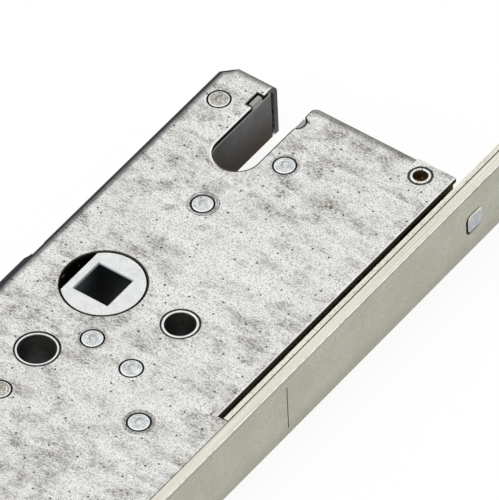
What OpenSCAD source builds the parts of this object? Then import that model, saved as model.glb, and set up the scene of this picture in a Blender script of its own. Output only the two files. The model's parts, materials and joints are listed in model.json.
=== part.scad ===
// Lift lever passive lock: the central case of a multipoint lock for a door's passive leaf.
// Lifting the lever turns the hub. Its teeth pull the lower slide and its drive rail down, and a
// reversing pinion sends the upper slide and its drive rail up, so both shootbolts are thrown.
// The lock lies flat: +X points out of the faceplate, +Y to the case's top, +Z out of the side
// plate. The origin is on the spindle axis, half way through the case.

/* [Case] */
// Thickness of the case over both plates
case_t = 15; // [14:0.5:18]
// Thickness of the pressed plates
plate_t = 1.2; // [1:0.1:1.5]
// Top edge of the case above the spindle
case_top = 64.1; // [63.2:0.1:66]
// Bottom edge of the case below the spindle
case_bottom = 96.5; // [96:0.5:104]
// Back edge of the case behind the spindle
case_back = 17.6; // [16.8:0.1:24]
// Step outwards of the back edge below the spindle
back_step = 0.6; // [0:0.1:1.2]
// Outer radius of the rolled edges
roll_r = 2.5; // [1.5:0.1:2.6]
// Cut corner at the back, top and bottom
corner_cut = 3.1; // [2.6:0.1:5]
// Where the rolled top and bottom flanges end, in front of the spindle
flange_end = 30.5; // [26:0.1:30.5]
// How far the raw ends of the plates in front of them stand back
raw_back = 0.8; // [0.6:0.05:1]
// Radius of the side plate's corner in front of the cut-out
plate_corner = 2.6; // [1:0.1:3]
// Below this depth under the spindle the plates reach the faceplate
step_depth = 15.6; // [12:0.2:20]
// Gap between the upper front edge and the drive rail
front_gap = 1.35; // [0.8:0.05:2]
// Height of the back flange's relief
relief_h = 4.8; // [3:0.2:8]
// Top of the back flange's relief above the spindle
relief_top = 3.3; // [2:0.1:5]
// How far the plate's edge is trimmed in the relief
relief_trim = 0.8; // [0.4:0.1:1]

/* [Cut-out at the top] */
// Width of the round-ended cut-out
notch_w = 10.4; // [9:0.2:12]
// Centre of its round end above the spindle
notch_y = 44; // [42:0.5:50]
// Thickness of the liner strip
liner_t = 1; // [0.8:0.1:1.2]
// How far the liner stands back from the plate's edge
liner_set = 0.05; // [0:0.05:0.2]
// Gap between the liner's ends and the top flange
liner_gap = 0.8; // [0.4:0.1:1]
// How much of the liner's foot stands on the cover plate
liner_foot = 0.25; // [0.2:0.05:0.4]
// Height of a liner tab
tab_h = 3; // [2:0.2:3.6]
// Centre of the liner tabs above the spindle
tab_y = 57.7; // [56:0.1:58]
// Play round a liner tab in its window
tab_play = 0.4; // [0.3:0.05:0.5]

/* [Faceplate] */
// Backset: spindle axis to the faceplate's front
backset = 45; // [44.5:0.5:50]
// Width of the faceplate
fp_w = 16; // [15:0.5:20]
// Thickness of the faceplate
fp_t = 2.5; // [2:0.1:3]
// Faceplate above the spindle
fp_up = 162; // [160:1:200]
// Faceplate below the spindle
fp_down = 190; // [188:1:230]
// Radius of the faceplate's front edges
fp_edge_r = 0.6; // [0.3:0.1:1]
// Faceplate screw hole radius
screw_r = 2.25; // [2:0.05:2.5]
// Countersink radius at the front
sink_r = 3.9; // [3.5:0.1:4.2]
// Outer screws from the faceplate's ends
end_margin = 10; // [8:0.5:12]
// Width of the line scribed across the faceplate at spindle height
mark_w = 0.25; // [0.2:0.05:0.5]
// Depth of the scribed line
mark_d = 0.15; // [0.1:0.05:0.3]
// Length of the scribed line
mark_l = 11.4; // [8:0.2:13]

/* [Hub] */
// Square spindle socket, across flats
socket = 8.1; // [7.1:0.1:10.1]
// Chamfer of the socket's mouth
socket_edge = 0.35; // [0.2:0.05:0.6]
// Radius of the hub's journal in the plates
journal_r = 8.77; // [8.4:0.01:8.8]
// Running clearance of the journal
journal_play = 0.08; // [0.03:0.01:0.1]
// Width of the step round the hub's faces
rim_groove = 0.3; // [0.2:0.05:0.4]
// Depth of that step
rim_depth = 0.8; // [0.3:0.05:0.8]
// Flat milled on the hub's front, from the axis
flat_x = 6; // [5.8:0.1:7]
// Tooth module of the hub
hub_module = 1.25; // [1.25:0.01:1.27]
// Thickness of the toothed disc
gear_t = 7; // [6:0.5:8]
// Lever lift, in degrees
lift_deg = 90; // [60:5:90]
// Backlash at the pitch line
backlash = 0.2; // [0.16:0.02:0.3]

/* [Fixing bushes] */
// Upper bush in front of the spindle
bush_a_x = 19; // [18.8:0.1:19.2]
// Its outer radius
bush_a_r = 3.95; // [3.7:0.05:4]
// Its bore radius
bush_a_bore = 3.25; // [2.6:0.05:3.4]
// Lower bush below the spindle
bush_b_y = 21.5; // [21:0.1:22]
// Its outer radius
bush_b_r = 4.6; // [4.5:0.05:4.8]
// Its bore radius
bush_b_bore = 4; // [3:0.05:4.05]
// Width of the step round a bush's ends
bush_rim = 0.25; // [0.15:0.05:0.3]
// Clearance of a bush or stud in its plate hole
seat_play = 0.08; // [0.05:0.01:0.12]
// Collar of a bush or stud beyond its end, inside the case
collar_w = 0.9; // [0.6:0.1:1]
// Height of such a collar
collar_h = 1.8; // [1:0.1:2]

/* [Studs] */
// Radius of the flush riveted ends
stud_r = 2.42; // [2.1:0.01:2.5]
// Width of the step round a riveted end
stud_rim = 0.25; // [0.1:0.05:0.3]
// Depth of the step round a riveted end or a bush's end
rim_drop = 0.5; // [0.3:0.05:0.6]
// Radius of a stud's waist between its collars
waist_r = 2; // [1.6:0.1:2]

/* [Reversing pinion] */
// Pinion axle in front of the spindle
pinion_x = 28.2; // [28.2:0.1:28.6]
// Pinion axle below the spindle
pinion_y = 25.6; // [25.2:0.1:26]
// Tooth module of the pinion
pinion_module = 1; // [1:0.01:1.02]
// Thickness of the pinion's teeth
pinion_t = 6; // [5.5:0.5:7]
// Radius of the pinion's bosses
boss_r = 3.2; // [2.8:0.1:3.4]
// Running clearance on the axle
axle_play = 0.06; // [0.03:0.01:0.1]

/* [Slides and drive rails] */
// Thickness of the slides
slide_t = 5; // [4:0.5:6]
// Running gap of the slides and rails
gap = 0.3; // [0.25:0.05:0.4]
// Width of the lower slide's bar in front of the upper bush
bar_w = 2.4; // [2:0.1:3]
// Thickness of the drive rails
rail_t = 1.05; // [0.9:0.05:1.2]
// Width of a rail inside the case
tail_w = 11; // [9:0.5:12]
// Radius of the rail rivets
pin_r = 1.2; // [1:0.1:1.3]
// Clearance round the rail rivets
pin_play = 0.05; // [0.03:0.01:0.08]
// Radius of the rail guide studs
guide_r = 2; // [1.8:0.1:2.2]
// Radius of their heads behind the rails
guide_head_r = 3.6; // [3.2:0.1:3.8]
// Thickness of their heads
guide_head_t = 0.95; // [0.8:0.05:1.2]
// Guide studs from the faceplate's ends
guide_in = 48; // [47.5:0.5:49]
// Length of a coupling block along its rail
link_l = 12; // [11.5:0.1:12]
// Depth of a coupling block behind its rail
link_d = 7; // [6:0.5:9]
// Radius of the coupling's cross bore
link_bore = 2.5; // [2:0.1:2.6]

/* [Anchors] */
// Side of the square tenons riveted in the faceplate
tenon = 4.6; // [4:0.1:4.8]
// Corner radius of the tenons
tenon_corner = 1.4; // [0.5:0.1:1.6]
// Play of a tenon in its faceplate hole
tenon_play = 0.3; // [0.2:0.01:0.35]
// Upper tenon above the spindle
tenon_up = 61.9; // [61.5:0.1:62]
// Lower tenon below the spindle
tenon_down = 90; // [89.5:0.1:90.5]
// Anchor block along X
block_x = 8.5; // [8:0.1:8.5]
// Anchor block along Y
block_y = 8.5; // [8:0.1:9]
// Eyelet in front of the spindle
eyelet_x = 33.7; // [33.5:0.1:34]
// Eyelet centre from the case's top or bottom edge
eyelet_in = 3.6; // [3.5:0.1:3.7]
// Eyelet outer radius
eyelet_r = 2.27; // [2.1:0.01:2.4]
// Width of the step round an eyelet's ends
eyelet_rim = 0.15; // [0.1:0.01:0.2]
// Eyelet bore radius
eyelet_bore = 1.6; // [1.4:0.05:1.7]
// Bore of the brass bush in the eyelet
brass_bore = 0.8; // [0.6:0.05:1]

/* [Detent] */
// Detent axis below the spindle
detent_y = 46; // [45.5:0.5:46.5]
// Plunger radius
plunger_r = 2.35; // [2:0.05:2.4]
// Radius of the plunger's stem
stem_r = 1; // [0.8:0.1:1.1]
// Length of the plunger's body
plunger_l = 4; // [3.6:0.1:4.4]
// Play of the plunger in its bore
plunger_play = 0.1; // [0.06:0.01:0.1]
// Stroke of the plunger
plunger_stroke = 0.8; // [0.6:0.1:0.8]
// Wire radius of the detent spring
wire_r = 0.25; // [0.2:0.01:0.26]
// Turns of the detent spring
spring_turns = 5; // [4:1:5]
// Length of the detent spring at rest
spring_l = 5.4; // [5:0.1:5.6]

/* [Hidden] */
$fn = 64;

far = 300;
cut = 1;
front_face = case_t / 2;
inner_face = front_face - plate_t;
hub_teeth = 18;
pinion_teeth = 10;
hub_pitch_r = hub_module * hub_teeth / 2;
pinion_pitch_r = pinion_module * pinion_teeth / 2;
travel = hub_pitch_r * lift_deg * PI / 180;

// Stub teeth: 20 degrees, short on the racks so that the small pinion isn't undercut.
pressure = 20;
gear_add = 0.8;
rack_add = 0.6;
root_gap = 0.25;
hub_tip_r = hub_pitch_r + gear_add * hub_module;
hub_root_r = hub_pitch_r - (rack_add + root_gap) * hub_module;
pinion_tip_r = pinion_pitch_r + gear_add * pinion_module;
hub_rack_root = hub_pitch_r + (gear_add + root_gap) * hub_module;
low_rack_x = pinion_x - pinion_pitch_r;
up_rack_x = pinion_x + pinion_pitch_r;
pinion_root = (gear_add + root_gap) * pinion_module;
hub_pitch = PI * hub_module;
pinion_pitch = PI * pinion_module;

fp_back = backset - fp_t;
fp_z = front_face - fp_w / 2;
rail_front = fp_back - gap;
rail_back = rail_front - rail_t;
upper_front = rail_back - front_gap;
hub_hole_r = journal_r + journal_play;
waist_h = 2 * (inner_face - collar_h);
pad_z = inner_face - gap;

// The front liner tab and its window are round outside, about this centre.
tab_r = (tab_h * tab_h / 4 + liner_t * liner_t) / (2 * liner_t);
tab_x = notch_w / 2 + liner_set + liner_t - tab_r;

// Heights above or below the spindle: guide studs, and screws midway between them and a tenon.
guide_up = fp_up - guide_in;
guide_down = fp_down - guide_in;
screw_up = (tenon_up + guide_up) / 2;
screw_down = (tenon_down + guide_down) / 2;

// Rail ends stop short of the faceplate's outer screws when thrown.
end_clear = screw_r + 2;
up_rail_end = fp_up - end_margin - end_clear - travel;
down_rail_end = -fp_down + end_margin + end_clear + travel;

// Lower slide, from the bushes, studs and racks it runs between.
slide_left = hub_rack_root;
slide_right = low_rack_x - pinion_root;
bar_right = bush_a_x + bush_a_r + gap + bar_w;
slide_head = 5.7;
slide_foot = 3.7;
slide_top = travel + bush_a_r + gap + slide_head;
cross_top = -50;
cross_h = 8;
wide_from = -pinion_y + travel + pinion_tip_r + 0.5;
upper_slide_low = -pinion_y - travel - pinion_tip_r + gap;
upper_slide_top = -pinion_y + pinion_tip_r + 0.8;

// Stud places, as X and Y from the spindle.
guide_stud_a = [18.3, -15];
guide_stud_b = [17.3, -66];
slide_bottom = guide_stud_b[1] - waist_r - gap - slide_foot;
detent_stud_x = -2;
plain_studs = [
    [-11.9, 53.8], [9.9, 46.5], [2.9, 28.7], [7.2, -13], [0.6, -34.25],
    [detent_stud_x, -detent_y], [-11.5, -86.5], [6, -86.5]
];

anchor_back = 0.8;
anchor_front = upper_front - anchor_back;
anchor_edges = [case_top - raw_back, raw_back - case_bottom];
tenon_set = 0.2;

detent_face = slide_left - 2 * gap;
nose_tip = slide_left - gap;
nose_h = 1.2;
plunger_back = nose_tip - nose_h - plunger_l;
spring_seat = plunger_back - spring_l - 0.1;
detent_back = -5.5;
detent_h = 8;
stem_l = spring_l - plunger_stroke - 1.9;

// Rivets across the joint of a slide and its rail, and how deep they reach.
rivet_step = 4.4;
rivet_in = 5;

// Detent spring: one unbroken wire of six sides.
spring_mean_r = (plunger_r + plunger_play + stem_r) / 2;
rings_per_turn = 12;
wire_sides = 6;
spring_rings = spring_turns * rings_per_turn;
spring_pitch = (spring_l - 2 * wire_r) / spring_turns;

steel = [0.80, 0.80, 0.79];
plate_col = [0.83, 0.83, 0.82];
dark_col = [0.33, 0.33, 0.32];
brass_col = [0.75, 0.58, 0.25];
rail_col = [0.87, 0.86, 0.80];
fp_col = [0.70, 0.71, 0.66];
cast_col = [0.66, 0.67, 0.68];

// 2D shapes drawn in Y and Z, standing along +X from x.
module along_x(x, t) {
    translate([x, 0, 0]) rotate([90, 0, 90]) linear_extrude(t) children();
}

// 2D rectangle with round corners, centred.
module round_rect(w, h, r) {
    square([w - 2 * r, h], center = true);
    square([w, h - 2 * r], center = true);
    for (sx = [-1, 1], sy = [-1, 1]) translate([sx * (w / 2 - r), sy * (h / 2 - r)]) circle(r);
}

// 2D slot along the second axis, round at both ends.
module slot_y(x, y0, y1, r) {
    translate([x - r, y0]) square([2 * r, y1 - y0]);
    translate([x, y0]) circle(r);
    translate([x, y1]) circle(r);
}

// 2D slot along the first axis, round at both ends.
module slot_x(x0, x1, y, r) {
    translate([x0, y - r]) square([x1 - x0, 2 * r]);
    translate([x0, y]) circle(r);
    translate([x1, y]) circle(r);
}

// Cross-section of the case behind an edge at the first axis' zero: outside, bent round.
module outer_section() {
    translate([roll_r, -case_t]) square([far, case_t + front_face]);
    translate([0, -case_t]) square([far, case_t + front_face - roll_r]);
    translate([roll_r, front_face - roll_r]) circle(roll_r);
}

// The same inside, its bend a flat one.
module inner_section() {
    bend = (roll_r - plate_t) * (2 - sqrt(2));
    polygon([
        [plate_t, -case_t], [far, -case_t], [far, inner_face], [plate_t + bend, inner_face],
        [plate_t, inner_face - bend]
    ]);
}

// A cross-section drawn along the straight edge through a point.
module behind_edge(point, turn) {
    translate(point) rotate([0, 0, turn]) translate([0, far, 0]) rotate([90, 0, 0])
        linear_extrude(2 * far) children();
}

// What lies behind all five edges of the case, by a cross-section.
module behind_edges(back) {
    intersection() {
        behind_edge([-back, 0, 0], 0) children();
        behind_edge([0, case_top, 0], -90) children();
        behind_edge([0, -case_bottom, 0], 90) children();
        behind_edge([-back, case_top - corner_cut, 0], -45) children();
        behind_edge([-back, -case_bottom + corner_cut, 0], 45) children();
    }
}

module rolled_shell(back) {
    difference() {
        intersection() {
            translate([-far, -far, -inner_face]) cube([far + flange_end, 2 * far, far]);
            behind_edges(back) outer_section();
        }
        behind_edges(back) inner_section();
    }
}

// Round-ended cut-out, open at the top.
module notch_2d(half) {
    translate([-half, notch_y]) square([2 * half, far]);
    translate([0, notch_y]) circle(half);
}

// Cut-out and liner windows of the side plate, its corner in front of them rounded.
module tray_cut_2d() {
    half = notch_w / 2;
    window_x = half + liner_set + liner_t + tab_play;
    notch_2d(half);
    translate([-window_x, tab_y - tab_h / 2 - tab_play])
        square([window_x, tab_h + 2 * tab_play]);
    translate([tab_x, tab_y]) circle(tab_r + tab_play);
    difference() {
        translate([half - cut, case_top - plate_corner]) square([plate_corner + cut, far]);
        translate([half + plate_corner, case_top - plate_corner]) circle(plate_corner);
    }
}

// Holes that both side plates share.
module plate_holes() {
    circle(hub_hole_r);
    translate([bush_a_x, 0]) circle(bush_a_r + seat_play);
    translate([0, -bush_b_y]) circle(bush_b_r + seat_play);
    for (p = concat(plain_studs, [guide_stud_a, guide_stud_b, [pinion_x, -pinion_y]]))
        translate(p) circle(stud_r + seat_play);
    for (p = eyelet_places()) translate(p) circle(eyelet_r + seat_play);
}

function eyelet_places() = [
    for (e = anchor_edges) [eyelet_x, e - sign(e) * eyelet_in]
];

// The side plate in front of the flanges, stepped where it meets the faceplate.
module front_part() {
    translate([flange_end, -step_depth])
        square([upper_front - flange_end, anchor_edges[0] + step_depth]);
    translate([flange_end, anchor_edges[1]])
        square([fp_back - flange_end, -step_depth - anchor_edges[1]]);
}

// Trim of the plate's raw edge in the relief, with a curved step below it.
module relief_2d() {
    translate([-case_back - far, relief_top - relief_h])
        square([far + relief_trim, relief_h]);
    translate([-case_back - back_step, relief_top - relief_h]) circle(back_step + relief_trim);
}

module case_tray() {
    relief_low = relief_top - relief_h;
    color(plate_col) difference() {
        union() {
            intersection() {
                rolled_shell(case_back);
                translate([-far, relief_low, -far]) cube(2 * far);
            }
            intersection() {
                rolled_shell(case_back + back_step);
                translate([-far, relief_low - 2 * far, -far]) cube(2 * far);
            }
            translate([0, 0, inner_face]) linear_extrude(plate_t) front_part();
        }
        translate([0, 0, inner_face - cut]) linear_extrude(far) {
            plate_holes();
            tray_cut_2d();
        }
        translate([0, 0, -far]) linear_extrude(2 * far) {
            notch_2d(notch_w / 2);
            relief_2d();
        }
        translate([-far, relief_low, -far])
            cube([far - case_back + plate_t, relief_h, far + inner_face]);
    }
}

module cover_plate() {
    low = -case_bottom;
    wide = case_back + back_step;
    relief_low = relief_top - relief_h;
    outline = [
        [flange_end, low], [-wide + corner_cut, low], [-wide, low + corner_cut],
        [-wide, relief_low], [-case_back, relief_low], [-case_back, case_top - corner_cut],
        [-case_back + corner_cut, case_top], [flange_end, case_top],
        [flange_end, anchor_edges[0]], [upper_front, anchor_edges[0]],
        [upper_front, -step_depth], [fp_back, -step_depth], [fp_back, anchor_edges[1]],
        [flange_end, anchor_edges[1]]
    ];
    color(plate_col) translate([0, 0, -front_face]) linear_extrude(plate_t) difference() {
        polygon(outline);
        plate_holes();
        notch_2d(notch_w / 2 + liner_set + liner_t - liner_foot);
    }
}

module notch_liner() {
    half = notch_w / 2 + liner_set;
    end_y = case_top - plate_t - liner_gap;
    tab_top = front_face - 0.15;
    color(dark_col) {
        linear_extrude(2 * inner_face, center = true) intersection() {
            difference() {
                notch_2d(half + liner_t);
                notch_2d(half);
            }
            translate([-far, -far]) square([2 * far, far + end_y]);
        }
        translate([-half - liner_t, tab_y - tab_h / 2, 0]) cube([liner_t, tab_h, tab_top]);
        intersection() {
            translate([half, tab_y - tab_h / 2, 0]) cube([liner_t, tab_h, tab_top]);
            translate([tab_x, tab_y, 0]) cylinder(r = tab_r, h = tab_top);
        }
    }
}

// Countersunk screw hole through the faceplate, in Y from the spindle.
module screw_hole(y) {
    sink_h = sink_r - screw_r;
    translate([fp_back, y, fp_z]) rotate([0, 90, 0]) {
        translate([0, 0, -cut]) cylinder(r = screw_r, h = fp_t + 2 * cut);
        translate([0, 0, fp_t - sink_h])
            cylinder(r1 = screw_r, r2 = sink_r + 0.01, h = sink_h + 0.01);
    }
}

module faceplate() {
    r = fp_edge_r;
    color(fp_col) difference() {
        translate([0, fp_up, 0]) rotate([90, 0, 0]) linear_extrude(fp_up + fp_down) {
            translate([fp_back, fp_z - fp_w / 2]) square([fp_t - r, fp_w]);
            translate([fp_back, fp_z - fp_w / 2 + r]) square([fp_t, fp_w - 2 * r]);
            for (s = [-1, 1]) translate([backset - r, fp_z + s * (fp_w / 2 - r)]) circle(r);
        }
        for (y = [fp_up - end_margin, screw_up, -screw_down, end_margin - fp_down])
            screw_hole(y);
        for (y = [tenon_up, -tenon_down]) along_x(fp_back - cut, fp_t + 2 * cut)
            translate([y, fp_z])
                round_rect(tenon + 2 * tenon_play, tenon + 2 * tenon_play, tenon_corner);
        for (y = [guide_up, -guide_down]) translate([fp_back - cut, y, fp_z])
            rotate([0, 90, 0]) cylinder(r = guide_r + pin_play, h = fp_t + 2 * cut);
        translate([backset - mark_d, -mark_w / 2, fp_z - mark_l / 2])
            cube([cut, mark_w, mark_l]);
    }
}

// Angle in degrees between the base point of an involute and its point at radius r.
function involute_deg(base, r) = let (a = acos(min(1, base / r))) tan(a) * 180 / PI - a;

// Corner points of one gear tooth centred on the direction mid.
function tooth_points(pitch_r, teeth, base, root, tip, mid) = let (
    steps = 5,
    low = max(base, root),
    half = 90 / teeth - backlash / 4 / pitch_r * 180 / PI + involute_deg(base, pitch_r),
    flank = [for (i = [0:steps]) low + (tip - low) * i / steps]
) concat(
    [[root, mid - half]],
    [for (r = flank) [r, mid - half + involute_deg(base, r)]],
    [for (i = [steps:-1:0]) [flank[i], mid + half - involute_deg(base, flank[i])]],
    [[root, mid + half]]
);

// Gear outline with a tooth space facing +X and -X.
module gear_2d(module_size, teeth, root, tip) {
    pitch_r = module_size * teeth / 2;
    base = pitch_r * cos(pressure);
    polygon([
        for (k = [0:teeth - 1])
            for (p = tooth_points(pitch_r, teeth, base, root, tip, (k + 0.5) * 360 / teeth))
                p[0] * [cos(p[1]), sin(p[1])]
    ]);
}

// Rack teeth pointing to -X from the pitch line x, one of them at y, first to last.
module rack_2d(x, y, module_size, first, last) {
    pitch = PI * module_size;
    add = rack_add * module_size;
    ded = (gear_add + root_gap) * module_size;
    half = pitch / 4 - backlash / 4;
    root = half + ded * tan(pressure);
    top = half - add * tan(pressure);
    over = 0.2;
    for (k = [first:last]) translate([x, y + k * pitch]) polygon([
        [ded + over, -root], [ded, -root], [-add, -top], [-add, top], [ded, root],
        [ded + over, root]
    ]);
}

// Square frustum that bevels the socket's mouth, from its narrow end upwards.
module socket_bevel() {
    over = socket_edge + cut;
    profile = [
        [-socket / 2, 0], [socket / 2, 0], [socket / 2 + over, over], [-socket / 2 - over, over]
    ];
    intersection() {
        translate([0, far, 0]) rotate([90, 0, 0]) linear_extrude(2 * far) polygon(profile);
        rotate([0, 0, 90]) translate([0, far, 0]) rotate([90, 0, 0])
            linear_extrude(2 * far) polygon(profile);
    }
}

module spindle_hub() {
    collar_r = hub_root_r - 0.8;
    color([0.82, 0.83, 0.84]) difference() {
        union() {
            cylinder(r = journal_r, h = case_t, center = true);
            cylinder(r = collar_r, h = 2 * pad_z, center = true);
            linear_extrude(gear_t, center = true)
                gear_2d(hub_module, hub_teeth, hub_root_r, hub_tip_r);
        }
        cube([socket, socket, 2 * case_t], center = true);
        for (s = [0, 1]) mirror([0, 0, s]) {
            translate([0, 0, front_face - socket_edge]) socket_bevel();
            translate([0, 0, front_face - rim_depth]) difference() {
                cylinder(r = journal_r + cut, h = cut);
                cylinder(r = journal_r - rim_groove, h = 3 * cut, center = true);
            }
            translate([-far - flat_x, -far, gear_t / 2]) cube([far, 2 * far, far]);
        }
    }
}

// Bush between the plates: its ends fill the plate holes, its collars lie on the plates.
module bush(r, bore) {
    difference() {
        union() {
            cylinder(r = r, h = case_t - 2 * rim_drop, center = true);
            cylinder(r = r - bush_rim, h = case_t, center = true);
            for (s = [0, 1]) mirror([0, 0, s]) translate([0, 0, inner_face - collar_h])
                cylinder(r = r + collar_w, h = collar_h);
        }
        cylinder(r = bore, h = 2 * case_t, center = true);
    }
}

module fixing_bush_front() {
    color(steel) translate([bush_a_x, 0, 0]) bush(bush_a_r, bush_a_bore);
}

module fixing_bush_lower() {
    color(steel) translate([0, -bush_b_y, 0]) bush(bush_b_r, bush_b_bore);
}

// Flush riveted end of a stud, stepped round its rim.
module stud_end() {
    translate([0, 0, inner_face]) {
        cylinder(r = stud_r, h = plate_t - rim_drop);
        cylinder(r = stud_r - stud_rim, h = plate_t);
    }
}

// Distance stud: riveted flush in both plates, collared inside them, slim between.
module distance_stud(waist = waist_r) {
    cylinder(r = waist, h = case_t, center = true);
    for (s = [0, 1]) mirror([0, 0, s]) {
        stud_end();
        translate([0, 0, waist_h / 2]) cylinder(r = stud_r + collar_w / 2, h = collar_h);
    }
}

module case_studs() {
    color(steel) for (p = plain_studs) translate(p) distance_stud();
}

module slide_guide_studs() {
    color(steel) for (p = [guide_stud_a, guide_stud_b]) translate(p) distance_stud();
}

module pinion_axle() {
    color(steel) translate([pinion_x, -pinion_y, 0]) {
        cylinder(r = waist_r, h = case_t, center = true);
        for (s = [0, 1]) mirror([0, 0, s]) stud_end();
    }
}

module reversing_pinion() {
    root = pinion_pitch_r - (rack_add + root_gap) * pinion_module;
    color(cast_col) translate([pinion_x, -pinion_y, 0]) difference() {
        union() {
            cylinder(r = boss_r, h = 2 * pad_z, center = true);
            linear_extrude(pinion_t, center = true)
                gear_2d(pinion_module, pinion_teeth, root, pinion_tip_r);
        }
        cylinder(r = waist_r + axle_play, h = 2 * case_t, center = true);
    }
}

// Round pads on both faces of a slide that run along the plates.
module slide_pads(places) {
    for (p = places) translate([p[0], p[1], 0]) cylinder(r = p[2], h = 2 * pad_z, center = true);
}

module lower_slide() {
    cross_y = cross_top - cross_h;
    cross_mid = cross_top - cross_h / 2;
    slope_x = 1.6;
    slope_y = 2.4;
    join = 0.5;
    head_pad_r = 2;
    pad_r = 3;
    mid_pad_y = (guide_stud_a[1] + cross_top) / 2;
    pads = [
        [bush_a_x, slide_top - head_pad_r - join, head_pad_r],
        [(slide_left + slide_right) / 2, mid_pad_y, pad_r],
        [(slide_right + rail_back) / 2, cross_mid, pad_r]
    ];
    outline = [
        [slide_left, slide_bottom], [slide_right, slide_bottom],
        [slide_right, wide_from - 1 - slope_y], [bar_right - slope_x, wide_from - 1],
        [bar_right, wide_from], [bar_right, slide_top], [slide_left, slide_top]
    ];
    hub_last = ceil(travel / hub_pitch) + 1;
    pinion_last = ceil(travel / pinion_pitch) + 1;
    color(cast_col) difference() {
        union() {
            linear_extrude(slide_t, center = true) difference() {
                union() {
                    polygon(outline);
                    rack_2d(hub_pitch_r, 0, hub_module, -2, hub_last);
                    translate([low_rack_x, -pinion_y]) rotate([0, 0, 180])
                        rack_2d(0, 0, pinion_module, -pinion_last, 1);
                    translate([slide_right - join, cross_y])
                        square([rail_back - slide_right + join, cross_h]);
                }
                slot_y(bush_a_x, 0, travel, bush_a_r + gap);
                slot_y(guide_stud_a[0], guide_stud_a[1], guide_stud_a[1] + travel, waist_r + gap);
                slot_y(guide_stud_b[0], guide_stud_b[1], guide_stud_b[1] + travel, waist_r + gap);
            }
            slide_pads(pads);
        }
        rivet_bores(cross_mid);
    }
}

// Two rivets from a rail's front, either side of y.
module rail_rivets(y, step, depth, z, play) {
    for (s = [-1, 1]) translate([rail_back - depth, y + s * step / 2, z]) rotate([0, 90, 0])
        cylinder(r = pin_r + play, h = depth + rail_t);
}

module rivet_bores(y) {
    rail_rivets(y, rivet_step, rivet_in, 0, pin_play);
}

module upper_slide() {
    mid = (upper_slide_low + upper_slide_top) / 2;
    pad_step = (upper_slide_top - upper_slide_low) / 3;
    left = up_rack_x + pinion_root;
    first = -ceil(travel / pinion_pitch) - 1;
    color(cast_col) difference() {
        union() {
            linear_extrude(slide_t, center = true) {
                translate([left, upper_slide_low])
                    square([rail_back - left, upper_slide_top - upper_slide_low]);
                rack_2d(up_rack_x, -pinion_y, pinion_module, first, 1);
            }
            slide_pads([for (s = [-1, 1]) [(left + rail_back) / 2, mid + s * pad_step, 2.5]]);
        }
        rivet_bores(mid);
    }
}

// Slots along a rail for a piece fixed at y that passes through it.
module rail_slot(y, half_y, half_z, dir) {
    lo = min(y, y - dir * travel) - half_y;
    hi = max(y, y - dir * travel) + half_y;
    translate([lo, fp_z - half_z]) square([hi - lo, 2 * half_z]);
}

module rail_round_slot(y, r, dir) {
    slot_x(min(y, y - dir * travel), max(y, y - dir * travel), fp_z, r);
}

module upper_drive_rail() {
    low = upper_slide_low;
    wide_low = -step_depth + gap;
    mid = (upper_slide_low + upper_slide_top) / 2;
    slot_half = tenon / 2 + gap;
    color(rail_col) difference() {
        along_x(rail_back, rail_t) difference() {
            union() {
                translate([low, -tail_w / 2]) square([wide_low - low + 1, tail_w]);
                translate([wide_low, -front_face]) square([up_rail_end - wide_low, case_t]);
            }
            rail_slot(tenon_up, slot_half, slot_half, 1);
            rail_round_slot(screw_up, screw_r + gap, 1);
            rail_round_slot(guide_up, guide_r + gap, 1);
        }
        rivet_bores(mid);
        link_rivets(up_rail_end - link_l / 2, pin_play);
    }
}

module lower_drive_rail() {
    high = cross_top + 0.5;
    wide_high = -case_bottom - gap;
    slot_half = tenon / 2 + gap;
    color(rail_col) difference() {
        along_x(rail_back, rail_t) difference() {
            union() {
                translate([wide_high - 1, -tail_w / 2]) square([high - wide_high + 1, tail_w]);
                translate([down_rail_end, -front_face])
                    square([wide_high - down_rail_end, case_t]);
            }
            rail_slot(-tenon_down, slot_half, slot_half, -1);
            rail_round_slot(-screw_down, screw_r + gap, -1);
            rail_round_slot(-guide_down, guide_r + gap, -1);
        }
        rivet_bores(cross_top - cross_h / 2);
        link_rivets(down_rail_end + link_l / 2, pin_play);
    }
}

module upper_rail_rivets() {
    color(steel) rail_rivets((upper_slide_low + upper_slide_top) / 2, rivet_step, rivet_in, 0, 0);
}

module lower_rail_rivets() {
    color(steel) rail_rivets(cross_top - cross_h / 2, rivet_step, rivet_in, 0, 0);
}

// Rivets of a coupling block, either side of its cross bore.
module link_rivets(y, play) {
    rail_rivets(y, link_l - 2 * pin_r - 1.8, link_d - 1, fp_z, play);
}

module coupling(y) {
    difference() {
        along_x(rail_back - link_d, link_d) translate([y, fp_z]) round_rect(link_l, tail_w, 1);
        translate([rail_back - link_d / 2, y, fp_z])
            cylinder(r = link_bore, h = 2 * tail_w, center = true);
        link_rivets(y, pin_play);
    }
}

module upper_coupling() {
    color(cast_col) coupling(up_rail_end - link_l / 2);
}

module lower_coupling() {
    color(cast_col) coupling(down_rail_end + link_l / 2);
}

module upper_coupling_rivets() {
    color(steel) link_rivets(up_rail_end - link_l / 2, 0);
}

module lower_coupling_rivets() {
    color(steel) link_rivets(down_rail_end + link_l / 2, 0);
}

// Block between the plates with a tenon through the rail, riveted in the faceplate.
module anchor(edge, tenon_y) {
    eyelet_y = edge - sign(edge) * eyelet_in;
    low = min(edge, edge - sign(edge) * block_y);
    tenon_root = 3.5;
    difference() {
        union() {
            translate([anchor_front - block_x, low, -inner_face])
                cube([block_x, block_y, 2 * inner_face]);
            along_x(anchor_front - tenon_root, backset - anchor_front + tenon_root)
                translate([tenon_y + tenon_set, fp_z])
                    round_rect(tenon, tenon, tenon_corner);
        }
        translate([eyelet_x, eyelet_y, 0])
            cylinder(r = eyelet_r + seat_play, h = 2 * case_t, center = true);
    }
}

module upper_anchor_block() {
    color(steel) anchor(anchor_edges[0], tenon_up);
}

module lower_anchor_block() {
    color(steel) anchor(anchor_edges[1], -tenon_down);
}

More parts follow.
